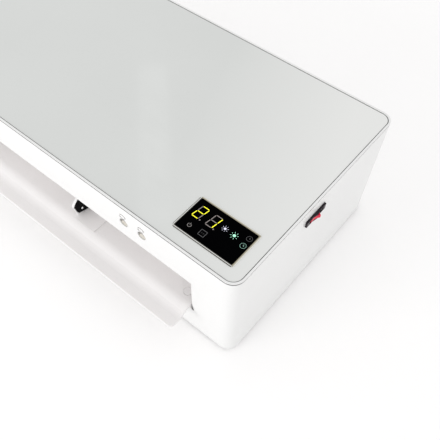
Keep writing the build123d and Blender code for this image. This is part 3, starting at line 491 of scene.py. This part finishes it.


# bezel's painted reflection and shade bands, each from one distance to another inside the frame's
# outer edge
BEZEL_OUTER_EDGE = (0.60 * MM, 0.75 * MM)
BEZEL_INNER_EDGE = (1.35 * MM, 1.50 * MM)
BEZEL_FAR_GLOW = (0.45 * MM, 0.8 * MM)
BEZEL_FAR_SHADE = (1.55 * MM, 1.75 * MM)
BEZEL_CORNER_BLEND = 0.05 * MM
BEZEL_BRIGHT = (0.74, 0.74, 0.71, 1)
BEZEL_SHADE = (0.26, 0.235, 0.165, 1)
BEZEL_GLOW = (0.86, 0.85, 0.80, 1)


def bezel_material(finishes):
    """Polished frame with painted reflections: dark, bright and dark bands on its near and left
    runs, a pale glow on its far runs. They don't move with the view."""
    material, tree, shader = new_material("bezel_polished", finishes.bezel, Metallic=1.0)
    skin = use_group(tree, "brushed metal", Colour=(*finishes.bezel, 1), Draw=(30.0, 30.0, 1.0),
                     Shine_Low=0.2, Shine_High=0.34, Stain=0.1)
    low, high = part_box("display_bezel")
    place = tree.nodes.new("ShaderNodeSeparateXYZ")
    tree.links.new(add_node(tree, "ShaderNodeTexCoord").outputs["Object"], place.inputs[0])
    across = [arithmetic(tree, "SUBTRACT", place.outputs["X"], low.x),
              arithmetic(tree, "SUBTRACT", place.outputs["Y"], low.y),
              arithmetic(tree, "SUBTRACT", high.x, place.outputs["X"]),
              arithmetic(tree, "SUBTRACT", high.y, place.outputs["Y"])]
    near = arithmetic(tree, "MINIMUM", across[0], across[1])
    far = arithmetic(tree, "MINIMUM", across[2], across[3])
    edge = (*finishes.bezel_edge, 1)
    outer = remap(tree, near, *BEZEL_OUTER_EDGE, 1.0, 0.0)
    inner = remap(tree, near, *BEZEL_INNER_EDGE, 0.0, 1.0)
    banded = mix_colours(tree, outer, mix_colours(tree, inner, BEZEL_BRIGHT, edge), edge)
    shaded = mix_colours(tree, remap(tree, far, *BEZEL_FAR_SHADE, 0.0, 1.0),
                         skin.outputs["Colour"], BEZEL_SHADE)
    glow = mix_colours(tree, remap(tree, far, *BEZEL_FAR_GLOW, 1.0, 0.0), shaded, BEZEL_GLOW)
    side = remap(tree, arithmetic(tree, "SUBTRACT", near, far),
                 -BEZEL_CORNER_BLEND, BEZEL_CORNER_BLEND, 0.0, 1.0)
    tree.links.new(mix_colours(tree, side, banded, glow), shader.inputs["Base Color"])
    tree.links.new(skin.outputs["Roughness"], shader.inputs["Roughness"])
    return material


BUTTON_TONE = (0.70, 0.66, 0.58)
# painted shade crescent: its colour, how far below the button's middle its centre lies, its radii
CRESCENT_TONE = (0.20, 0.185, 0.165, 1)
CRESCENT_DROP = 2.2 * MM
CRESCENT_R = (3.5 * MM, 4.2 * MM)


def button_material(name):
    """Silvery button with a painted crescent for the shade of its hole."""
    material, tree, shader = new_material(name + "_finish", BUTTON_TONE, Metallic=0.25)
    skin = use_group(tree, "brushed metal", Colour=(*BUTTON_TONE, 1), Draw=(20.0, 20.0, 20.0),
                     Shine_Low=0.3, Shine_High=0.42, Stain=0.1)
    low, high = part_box(name)
    middle = ((low.x + high.x) / 2, 0.0, (low.z + high.z) / 2 - CRESCENT_DROP)
    offset = add_node(tree, "ShaderNodeVectorMath", operation="SUBTRACT")
    tree.links.new(add_node(tree, "ShaderNodeTexCoord").outputs["Object"], offset.inputs[0])
    offset.inputs[1].default_value = middle
    flat = add_node(tree, "ShaderNodeVectorMath", operation="MULTIPLY")
    tree.links.new(offset.outputs[0], flat.inputs[0])
    flat.inputs[1].default_value = (1, 0, 1)
    reach = add_node(tree, "ShaderNodeVectorMath", operation="LENGTH")
    tree.links.new(flat.outputs[0], reach.inputs[0])
    shade = remap(tree, reach.outputs["Value"], *CRESCENT_R, 0.0, 1.0)
    tree.links.new(mix_colours(tree, shade, skin.outputs["Colour"], CRESCENT_TONE),
                   shader.inputs["Base Color"])
    tree.links.new(skin.outputs["Roughness"], shader.inputs["Roughness"])
    return material


MARKS = {}


def marks_material(kind):
    """Materials of the printed and lit marks, made once."""
    if kind not in MARKS:
        display = bpy.context.scene.laminator_display
        glowing = {
            "segment_lit": (display.lit, 0.62), "lamp_mint": (display.mint, 0.40),
            "lamp_pale": (display.pale, 0.35), "lamp_soft": (display.soft, 0.08),
            # the guide dots' white print glows though it is no lamp: painted light
            "glowing_print_white": ((0.9, 0.9, 0.9), 0.35)}
        moulded = {
            "segment_unlit": (display.unlit, 2200.0, 0.3),
            "lamp_faint": ((0.025, 0.025, 0.026), 2200.0, 0.3),
            "lamp_dim": ((0.10, 0.10, 0.105), 2200.0, 0.3),
            "print_grey": ((0.24, 0.225, 0.22), 2000.0, 0.3, (0.5, 0.6)),
            "print_pale": ((0.93, 0.92, 0.91), 2000.0, 0.1)}
        if kind in glowing:
            MARKS[kind] = glowing_material(kind, *glowing[kind])
        else:
            MARKS[kind] = moulded_material(kind, *moulded[kind])
    return MARKS[kind]


# ------------------------------------------------------------------ mesh helpers
def new_piece(name, points, faces, material, body, smooth=False):
    """Object from an array of points and lists of corners; rides on a body."""
    mesh = bpy.data.meshes.new(name)
    mesh.from_pydata(np.asarray(points, float).tolist(), [], faces)
    mesh.validate()
    mesh.polygons.foreach_set("use_smooth", np.full(len(mesh.polygons), smooth))
    mesh.materials.append(material)
    piece = bpy.data.objects.new(name, mesh)
    bpy.context.scene.collection.objects.link(piece)
    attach(piece, body)
    return piece


def patch_solid(grid, low, high):
    """Closed plate from a grid of flat points (rows, columns, 2) between two heights: the same grid
    stands at both heights, its quads face up and down, and its border is walled."""
    rows, columns = grid.shape[:2]
    flat = grid.reshape(-1, 2)
    count = len(flat)
    points = np.vstack([np.column_stack([flat, np.full(count, height)]) for height in (low, high)])
    index = np.arange(count).reshape(rows, columns)
    a, b, c, d = index[:-1, :-1], index[1:, :-1], index[1:, 1:], index[:-1, 1:]
    upper = np.stack([a, b, c, d], axis=-1).reshape(-1, 4) + count
    lower = np.stack([a, d, c, b], axis=-1).reshape(-1, 4)
    rim = np.concatenate([index[:, 0], index[-1, 1:], index[-2::-1, -1], index[0, -2:0:-1]])
    after = np.roll(rim, -1)
    walls = np.stack([rim, after, after + count, rim + count], axis=-1)
    return points, np.vstack([upper, lower, walls]).tolist()


def together(shapes):
    """Join several (points, faces) into one."""
    points, faces, start = [], [], 0
    for shape_points, shape_faces in shapes:
        points.append(shape_points)
        faces.extend([[corner + start for corner in face] for face in shape_faces])
        start += len(shape_points)
    return np.vstack(points), faces


def bar(start, end, width, cut=0.5):
    """Segment of a digit: a straight stroke with pointed ends, as a 4 by 2 grid."""
    start, end = np.array(start, float), np.array(end, float)
    along = (end - start) / np.linalg.norm(end - start)
    across = np.array([-along[1], along[0]])
    tip = width * cut
    stations = np.array([start, start + along * tip, end - along * tip, end])
    half = np.array([0.12, 1.0, 1.0, 0.12])[:, None] * width / 2
    return np.stack([stations - across * half, stations + across * half], axis=1)


def arc(centre, inner, outer, first, last, steps=24):
    """Part of a flat ring between two angles in degrees, as a grid of two columns."""
    angle = np.radians(np.linspace(first, last, steps))
    spoke = np.stack([np.cos(angle), np.sin(angle)], axis=-1)
    return np.stack([centre + spoke * inner, centre + spoke * outer], axis=1)


def plates(grids, low, high):
    return together([patch_solid(np.asarray(grid, float), low, high) for grid in grids])


def on_top(points, height):
    """Local (x, y, height) marks onto a level face: only their height is lifted."""
    return points + np.array([0.0, 0.0, height])


def on_front(points, face_y):
    """Local (x, z, height) marks onto the front wall: height runs towards the user."""
    return np.column_stack([points[:, 0], face_y - points[:, 2], points[:, 1]])


# ------------------------------------------------------------------ display
STROKE_GAP = 0.42  # opening between two strokes of a digit, in stroke widths
# shares of a sun's size
SUN_DISC = 0.38
SUN_RAY_START = 0.66
SUN_RAY_W = 0.085


def digit_strokes(origin, settings):
    """The seven strokes of a digit by their letters; they lean right by a share of the height."""
    w, h, gap = settings.digit_width, settings.digit_height, settings.stroke * STROKE_GAP

    def lean(x, y):
        return (origin[0] + x + settings.lean * y, origin[1] + y)

    ends = {
        "a": ((gap, h), (w - gap, h)), "b": ((w, h - gap), (w, h / 2 + gap)),
        "c": ((w, h / 2 - gap), (w, gap)), "d": ((gap, 0), (w - gap, 0)),
        "e": ((0, h / 2 - gap), (0, gap)), "f": ((0, h - gap), (0, h / 2 + gap)),
        "g": ((gap, h / 2), (w - gap, h / 2)),
    }
    return {name: bar(lean(*first), lean(*last), settings.stroke)
            for name, (first, last) in ends.items()}


def sun_grids(centre, size, rays=8):
    """A disc with short rays that leave a gap round it."""
    centre = np.array(centre, float)
    grids = [arc(centre, 0.02 * size, SUN_DISC * size, 0, 360, 33)]
    for ray in range(rays):
        angle = math.radians(360 / rays * ray + 22.5)
        way = np.array([math.cos(angle), math.sin(angle)])
        start = centre + way * SUN_RAY_START * size
        grids.append(bar(start, centre + way * size, size * SUN_RAY_W, 0.3))
    return grids


def clock_grids(centre, size):
    """A ring with two hands."""
    centre = np.array(centre, float)
    return [arc(centre, 0.90 * size, size, 0, 360, 41),
            bar(centre, centre + np.array([0.0, 0.55 * size]), size * 0.14),
            bar(centre, centre + np.array([0.42 * size, -0.1 * size]), size * 0.14)]


def box_outline_grids(centre, size, line):
    """A square drawn by four strokes."""
    x, y = centre
    half = size / 2
    left, right, low, high = x - half, x + half, y - half, y + half
    corners = [(left, low), (right, low), (right, high), (left, high)]
    return [bar(corners[i], corners[(i + 1) % 4], line, 0.2) for i in range(4)]


# ------------------------------------------------------------------ operators
class DressParts(bpy.types.Operator):
    """Give every sub-part the finish of its slot, or its own where it has one"""

    bl_idname = "laminator.dress_parts"
    bl_label = "Finishes"

    def execute(self, context):
        finishes = context.scene.laminator_finishes
        by_slot, own = finish_materials(finishes), own_materials(finishes)
        for row in frame["record"]["subparts"]:
            node = frame["nodes"][row["node"]]
            node.data.materials.clear()
            node.data.materials.append(own.get(row["node"]) or by_slot[row["material_slot"]])
        return {"FINISHED"}


DIGITS_AT = (4.8 * MM, 18.6 * MM)  # first digit, from the window's lower left corner
LIT_STROKES = ("abged", "bc")
DIGIT_POINT_AWAY = 2.1 * MM
DIGIT_POINT_R = 0.7 * MM


class DisplayDigits(bpy.types.Operator):
    """Two digits on the window's face, with lit and unlit strokes and their points"""

    bl_idname = "laminator.display_digits"
    bl_label = "Digits"

    def execute(self, context):
        settings = context.scene.laminator_display
        low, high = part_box("display_window")
        start = (low.x + DIGITS_AT[0], low.y + DIGITS_AT[1])
        lit, unlit = [], []
        for place, letters in enumerate(LIT_STROKES):
            left = start[0] + place * settings.digit_step
            strokes = digit_strokes((left, start[1]), settings)
            for name, grid in strokes.items():
                (lit if name in letters else unlit).append(grid)
            point = np.array((left + settings.digit_width + DIGIT_POINT_AWAY, start[1]))
            unlit.append(arc(point, 0.05 * MM, DIGIT_POINT_R, 0, 360, 17))
        for name, grids in (("digits_lit", lit), ("digits_unlit", unlit)):
            points, faces = plates(grids, 0.0, PRINT_T)
            kind = "segment_" + name.split("_")[1]
            new_piece(name, on_top(points, high.z), faces, marks_material(kind), "machine")
        return {"FINISHED"}


class DisplayPictograms(bpy.types.Operator):
    """Pictograms in the window: two suns, two clocks, a square field and a power sign"""

    bl_idname = "laminator.display_pictograms"
    bl_label = "Pictograms"

    def execute(self, context):
        low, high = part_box("display_window")

        def at(x, y):
            return (low.x + x * MM, low.y + y * MM)

        pieces = {
            "pictogram_cold": ("lamp_pale", sun_grids(at(37.2, 25.7), 3.3 * MM)),
            "pictogram_hot": ("lamp_mint", sun_grids(at(47.8, 25.2), 3.9 * MM)),
            "pictogram_wait": ("lamp_dim", clock_grids(at(59.9, 30.9), 2.8 * MM)),
            "pictogram_ready": ("lamp_soft", clock_grids(at(60.0, 21.8), 2.9 * MM)),
            "pictogram_field": (
                "lamp_dim", box_outline_grids(at(25.3, 9.5), 6.2 * MM, 0.45 * MM)),
            "pictogram_field_marks": (
                "lamp_faint", [bar(at(x, 8.6), at(x, 10.4), 0.4 * MM, 0.2) for x in (24.3, 26.2)]),
            "pictogram_power": ("print_grey", [
                arc(np.array(at(10.8, 8.8)), 1.55 * MM, 2.1 * MM, 125, 415, 33),
                bar(at(10.8, 9.3), at(10.8, 11.6), 0.55 * MM, 0.2)]),
        }
        for name, (kind, grids) in pieces.items():
            points, faces = plates(grids, 0.0, PRINT_T)
            new_piece(name, on_top(points, high.z), faces, marks_material(kind), "machine")
        return {"FINISHED"}


ARROW_ABOVE = 10.4 * MM  # from the button's middle to the arrow's
ARROW_R = 4.6 * MM
ARROW_LINE = 0.9 * MM
ARROW_HUB_DROP = 2.6 * MM
ARROW_SPREAD = 2.4 * MM  # between the centres of the two arcs
ARROW_HEAD_HALF_W = 1.1 * MM
ARROW_HEAD_L = 1.9 * MM


class BandArrows(bpy.types.Operator):
    """Curved double arrow printed on the band over each button"""

    bl_idname = "laminator.band_arrows"
    bl_label = "Band arrows"

    def execute(self, context):
        face_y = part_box("casing")[0].y
        for name in ("button_left", "button_right"):
            low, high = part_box(name)
            centre = np.array([(low.x + high.x) / 2, (low.z + high.z) / 2 + ARROW_ABOVE])
            hub = centre - np.array([0.0, ARROW_HUB_DROP])
            upper = hub + np.array([0.0, ARROW_SPREAD])
            grids = [arc(hub, ARROW_R - ARROW_LINE, ARROW_R, 40, 140, 21),
                     arc(upper, ARROW_R - ARROW_LINE, ARROW_R, 228, 312, 17)]
            for angle, middle in ((40, hub), (228, upper)):
                spoke = np.array([math.cos(math.radians(angle)), math.sin(math.radians(angle))])
                along = np.array([spoke[1], -spoke[0]])
                root = middle + spoke * (ARROW_R - ARROW_LINE / 2)
                wide = spoke * ARROW_HEAD_HALF_W
                tip, thin = root + along * ARROW_HEAD_L, spoke * 0.05 * MM
                grids.append(np.array([[root - wide, root + wide], [tip - thin, tip + thin]]))
            points, faces = plates(grids, 0.0, PRINT_T)
            new_piece(name.replace("button", "arrow"), on_front(points, face_y), faces,
                      marks_material("print_grey"), "machine")
        return {"FINISHED"}


DOT_AT = (8.2 * MM, 7.4 * MM)  # from the plate's front lower corner
DOT_R = 1.15 * MM


class GuideDots(bpy.types.Operator):
    """Small white dot on each pouch guide's black plate"""

    bl_idname = "laminator.guide_dots"
    bl_label = "Guide dots"

    def execute(self, context):
        for side, name in ((1, "guide_right_plate"), (-1, "guide_left_plate")):
            low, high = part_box(name)
            face_x = high.x if side > 0 else low.x
            centre = np.array([low.y + DOT_AT[0], low.z + DOT_AT[1]])
            points, faces = plates([arc(centre, 0.02 * MM, DOT_R, 0, 360, 25)], 0.0, PRINT_T)
            placed = np.column_stack([face_x + side * points[:, 2], points[:, 0], points[:, 1]])
            if side < 0:
                faces = [face[::-1] for face in faces]
            # the dot's white glows a little, a painted light that keeps it bright in the shade
            new_piece(name.replace("plate", "dot"), placed, faces, marks_material("glowing_print_white"),
                      name.replace("_plate", ""))
        return {"FINISHED"}


CAP_PROUD = 0.2 * MM  # the tray's caps stand this far above it
# size marks: away from the machine's middle, and behind the front wall
TRAY_MARKS = ((113.0 * MM, 2.4 * MM), (119.5 * MM, 1.2 * MM))
TRAY_MARK_L = 2.6 * MM
TRAY_MARK_W = 0.7 * MM


class TrayMarks(bpy.types.Operator):
    """Pale size marks printed on the tray beside the pouch guides"""

    bl_idname = "laminator.tray_marks"
    bl_label = "Tray marks"

    def execute(self, context):
        face_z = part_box("tray_caps")[1].z - CAP_PROUD
        front_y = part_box("casing")[0].y
        grids = []
        for side in (-1, 1):
            for away, behind in TRAY_MARKS:
                start = (side * away, front_y + behind)
                end = (start[0] + side * TRAY_MARK_L, start[1])
                grids.append(bar(start, end, TRAY_MARK_W, 0.2))
        points, faces = plates(grids, 0.0, PRINT_T)
        new_piece("tray_size_marks", on_top(points, face_z), faces,
                  marks_material("print_pale"), "tray")
        return {"FINISHED"}


class Stage(bpy.types.Operator):
    """Floor, soft light and camera"""

    bl_idname = "laminator.stage"
    bl_label = "Stage"

    def execute(self, context):
        settings = context.scene.laminator_stage
        lay_floor()
        light_stage(settings)
        place_camera(settings)
        return {"FINISHED"}


FLOOR_REACH = 6.0
FRONT_LAMP = {"place": (-0.6, -1.95, 0.6), "target": (0.05, -0.05, 0.06), "size": (1.2, 0.8)}
OVERHEAD_STRIP = {"place": (-1.10, 1.08, 1.8), "target": (-1.10, 1.08, 0), "size": (0.16, 1.1),
                  "turned": 44}


def lay_floor():
    """Level square at the feet's height, in matt near-white with a faint mottle and a glow."""
    mesh = bpy.data.meshes.new("floor")
    signs = ((-1, -1), (1, -1), (1, 1), (-1, 1))
    corners = [(x * FLOOR_REACH, y * FLOOR_REACH, 0) for x, y in signs]
    mesh.from_pydata(corners, [], [(0, 1, 2, 3)])
    mesh.materials.append(moulded_material(
        "floor", (0.93, 0.922, 0.92), 300.0, 0.01, (0.8, 0.9), 0.05,
        Emission_Color=(1, 1, 1, 1), Emission_Strength=0.13))
    floor = bpy.data.objects.new("floor", mesh)
    bpy.context.scene.collection.objects.link(floor)


def add_lamp(name, power, place, target, size, turned=0):
    """Rectangular lamp that looks at a target; turned gives its degrees about that line."""
    lamp = bpy.data.lights.new(name, "AREA")
    lamp.shape = "RECTANGLE"
    lamp.size, lamp.size_y = size
    lamp.energy = power
    thing = bpy.data.objects.new(name, lamp)
    thing.location = place
    aim = (Vector(target) - Vector(place)).to_track_quat("-Z", "Y").to_matrix()
    thing.rotation_euler = (aim @ Matrix.Rotation(math.radians(turned), 3, "Z")).to_euler()
    bpy.context.scene.collection.objects.link(thing)


def light_stage(settings):
    world = bpy.data.worlds.new("studio")
    bpy.context.scene.world = world
    world.use_nodes = True
    world.node_tree.nodes["Background"].inputs["Color"].default_value = (1, 1, 1, 1)
    world.node_tree.nodes["Background"].inputs["Strength"].default_value = settings.sky
    add_lamp("front_lamp", settings.key, **FRONT_LAMP)
    add_lamp("overhead_strip", settings.strip, **OVERHEAD_STRIP)
    bpy.context.scene.view_settings.view_transform = "Standard"


def place_camera(settings):
    """Camera from the sharp top front-right corner of the body, in shares of the body's depth."""
    low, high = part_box("casing")
    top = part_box("top_frame")[1].z
    depth = high.y - low.y
    corner = Vector((high.x, low.y, top))
    lens = bpy.data.cameras.new("camera")
    lens.sensor_width = 36
    lens.lens = settings.lens
    lens.shift_x, lens.shift_y = settings.shift_x, settings.shift_y
    lens.clip_start, lens.clip_end = 0.01, 50
    camera = bpy.data.objects.new("camera", lens)
    camera.location = corner + depth * Vector((settings.aside, -settings.before, settings.above))
    around, up = math.radians(settings.azimuth), math.radians(settings.elevation)
    turn = Matrix.Rotation(around, 3, "Z") @ Matrix.Rotation(math.pi / 2 - up, 3, "X")
    camera.rotation_euler = (turn @ Matrix.Rotation(math.radians(settings.roll), 3, "Z")).to_euler()
    bpy.context.scene.collection.objects.link(camera)
    bpy.context.scene.camera = camera


OPERATORS = (DressParts, DisplayDigits, DisplayPictograms, BandArrows, GuideDots, TrayMarks, Stage)


class LaminatorPanel(bpy.types.Panel):
    """Lists the operators in the sidebar."""

    bl_idname = "VIEW3D_PT_laminator"
    bl_label = "Laminator"
    bl_space_type = "VIEW_3D"
    bl_region_type = "UI"
    bl_category = "Laminator"

    def draw(self, context):
        for operator in OPERATORS:
            self.layout.operator(operator.bl_idname)
        for settings in ("laminator_finishes", "laminator_display", "laminator_stage"):
            box = self.layout.box()
            group = getattr(context.scene, settings)
            for name in group.__annotations__:
                box.prop(group, name)


SETTINGS = {"laminator_finishes": LaminatorFinishes, "laminator_display": LaminatorDisplay,
            "laminator_stage": LaminatorStage}


def register():
    for kind in (*SETTINGS.values(), *OPERATORS, LaminatorPanel):
        bpy.utils.register_class(kind)
    for name, kind in SETTINGS.items():
        setattr(bpy.types.Scene, name, bpy.props.PointerProperty(type=kind))


def unregister():
    for name in SETTINGS:
        delattr(bpy.types.Scene, name)
    for kind in reversed((*SETTINGS.values(), *OPERATORS, LaminatorPanel)):
        bpy.utils.unregister_class(kind)


def main():
    register()
    for operator in OPERATORS:
        area, name = operator.bl_idname.split(".")
        getattr(getattr(bpy.ops, area), name)()


if __name__ == "__main__":
    main()
